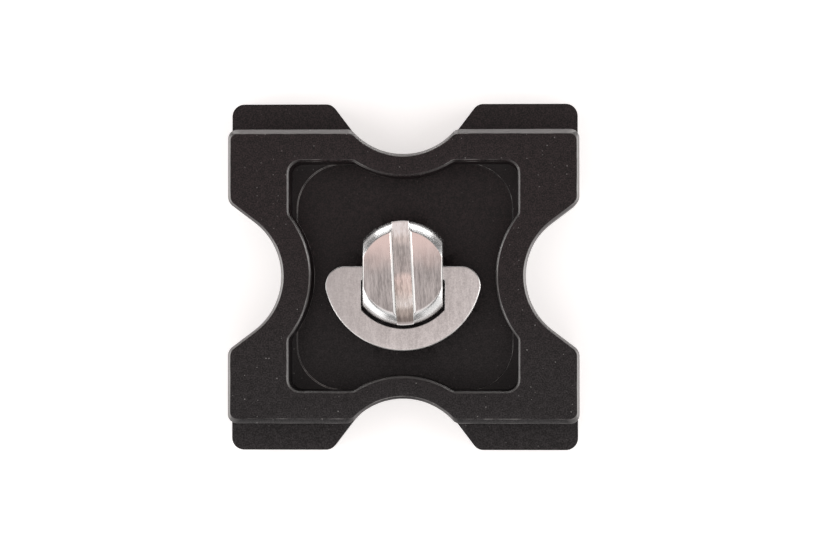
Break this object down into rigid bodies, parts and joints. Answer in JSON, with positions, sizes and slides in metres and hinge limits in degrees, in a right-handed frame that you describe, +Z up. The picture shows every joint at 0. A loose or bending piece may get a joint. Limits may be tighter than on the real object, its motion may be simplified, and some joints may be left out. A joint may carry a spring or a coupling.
{
  "type": "tripod quick release plate",
  "caption": "Square aluminium dovetail plate with scalloped sides and a captive camera screw, which a folding ring in its pocket turns by hand.",
  "frame": {"origin": "under the middle of the plate, on the face of the camera pad", "axes": "+Z up out of the rail face, +X along the dovetail rail"},
  "size_m": [0.0454, 0.0454, 0.0119],
  "materials": {
    "anodised_aluminium": "fine bead-blasted black anodising with worn edges",
    "pad_rubber": "matt moulded rubber",
    "washer_nylon": "plain natural nylon",
    "turned_stainless": "brushed along the slot",
    "stamped_stainless": "fine satin, tumbled edges"
  },
  "bodies": {
    "plate": {"plate_body": "anodised_aluminium", "camera_pad": "pad_rubber"},
    "washer": {"screw_washer": "washer_nylon"},
    "screw": {"camera_screw": "turned_stainless"},
    "ring": {"d_ring": "stamped_stainless"}
  },
  "joints": [
    {"name": "screw_push", "type": "slide", "parent": "plate", "child": "washer", "axis": [0, 0, 1], "range_m": [-0.0045, 0]},
    {"name": "screw_turn", "type": "hinge", "parent": "washer", "child": "screw", "pos_m": [0, 0.0004, 0.01003], "axis": [0, 0, 1], "continuous": true},
    {"name": "ring_fold", "type": "hinge", "parent": "screw", "child": "ring", "pos_m": [0, 0.0004, 0.01003], "axis": [-1, 0, 0], "range_deg": [0, 180]}
  ]
}
